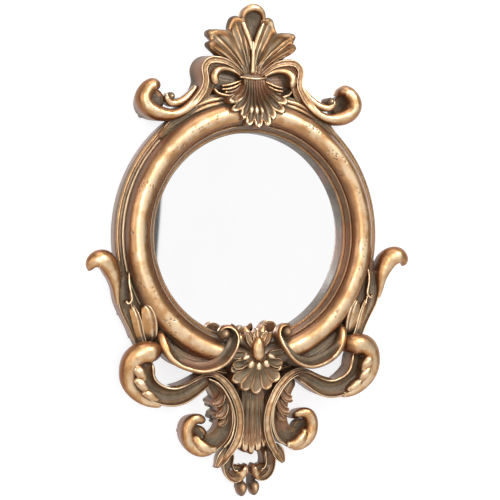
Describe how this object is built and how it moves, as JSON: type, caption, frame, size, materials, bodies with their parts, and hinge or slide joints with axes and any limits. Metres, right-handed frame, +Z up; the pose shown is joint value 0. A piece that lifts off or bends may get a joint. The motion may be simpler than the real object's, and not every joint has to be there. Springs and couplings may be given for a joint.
{
  "type": "wall mirror",
  "caption": "Round wall mirror in a carved gilt rococo frame with palmette crest, shell, scrolls and leaves; hangs from a keyhole plate, with turn buttons behind.",
  "frame": {"origin": "centre of the keyhole that the mirror hangs by, in the plane of the flat back against the wall", "axes": "+X to the right seen from the front, +Y back into the wall, +Z up"},
  "size_m": [0.3972, 0.0552, 0.5605],
  "materials": {
    "gilt": "antiqued gilding over gesso, rubbed edges, dark wax in the recesses",
    "mirror": "silvered glass, polished",
    "board": "raw fibreboard",
    "brass": "stamped brass",
    "steel": "zinc plated",
    "dowel": "raw beech"
  },
  "bodies": {
    "frame": {"apron_dowels": "dowel", "apron_ground": "gilt", "backing_board": "board", "bud_leaf_left": "gilt", "bud_leaf_right": "gilt", "carving_screws": "steel", "cradle_bead_left": "gilt", "cradle_bead_right": "gilt", "cradle_field_left": "gilt", "cradle_field_right": "gilt", "cradle_scroll_left": "gilt", "cradle_scroll_right": "gilt", "crest_collar": "gilt", "crest_curl_left": "gilt", "crest_curl_right": "gilt", "crest_dowels": "dowel", "crest_ear_low_left": "gilt", "crest_ear_low_right": "gilt", "crest_ear_top_left": "gilt", "crest_ear_top_right": "gilt", "crest_feather_left": "gilt", "crest_feather_right": "gilt", "crest_ground": "gilt", "crest_palmette": "gilt", "crest_scroll_left": "gilt", "crest_scroll_right": "gilt", "crest_shell": "gilt", "foot_knob_left": "gilt", "foot_knob_right": "gilt", "foot_scroll_left": "gilt", "foot_scroll_right": "gilt", "frame_ring": "gilt", "keyhole_plate": "steel", "keyhole_plate_screws": "steel", "mirror_glass": "mirror", "pendant_curl_left": "gilt", "pendant_curl_right": "gilt", "pendant_scroll_left": "gilt", "pendant_scroll_right": "gilt", "pendant_stem": "gilt", "pendant_strip_left": "gilt", "pendant_strip_right": "gilt", "rosette_bud": "gilt", "rosette_petals": "gilt", "rosette_shell": "gilt", "side_leaf_left": "gilt", "side_leaf_right": "gilt", "tail_drop_left": "gilt", "tail_drop_right": "gilt", "tail_scroll_left": "gilt", "tail_scroll_right": "gilt", "turn_button_screws": "steel"},
    "turn_button_1": {"turn_button_1": "brass"},
    "turn_button_2": {"turn_button_2": "brass"},
    "turn_button_3": {"turn_button_3": "brass"},
    "turn_button_4": {"turn_button_4": "brass"}
  },
  "joints": [
    {"name": "turn_button_1_turn", "type": "hinge", "parent": "frame", "child": "turn_button_1", "pos_m": [0.09086, -0.00425, -0.07664], "axis": [0, 1, 0], "range_deg": [-90, 90]},
    {"name": "turn_button_2_turn", "type": "hinge", "parent": "frame", "child": "turn_button_2", "pos_m": [0.09086, -0.00425, -0.25836], "axis": [0, 1, 0], "range_deg": [-90, 90]},
    {"name": "turn_button_3_turn", "type": "hinge", "parent": "frame", "child": "turn_button_3", "pos_m": [-0.09086, -0.00425, -0.25836], "axis": [0, 1, 0], "range_deg": [-90, 90]},
    {"name": "turn_button_4_turn", "type": "hinge", "parent": "frame", "child": "turn_button_4", "pos_m": [-0.09086, -0.00425, -0.07664], "axis": [0, 1, 0], "range_deg": [-90, 90]}
  ]
}
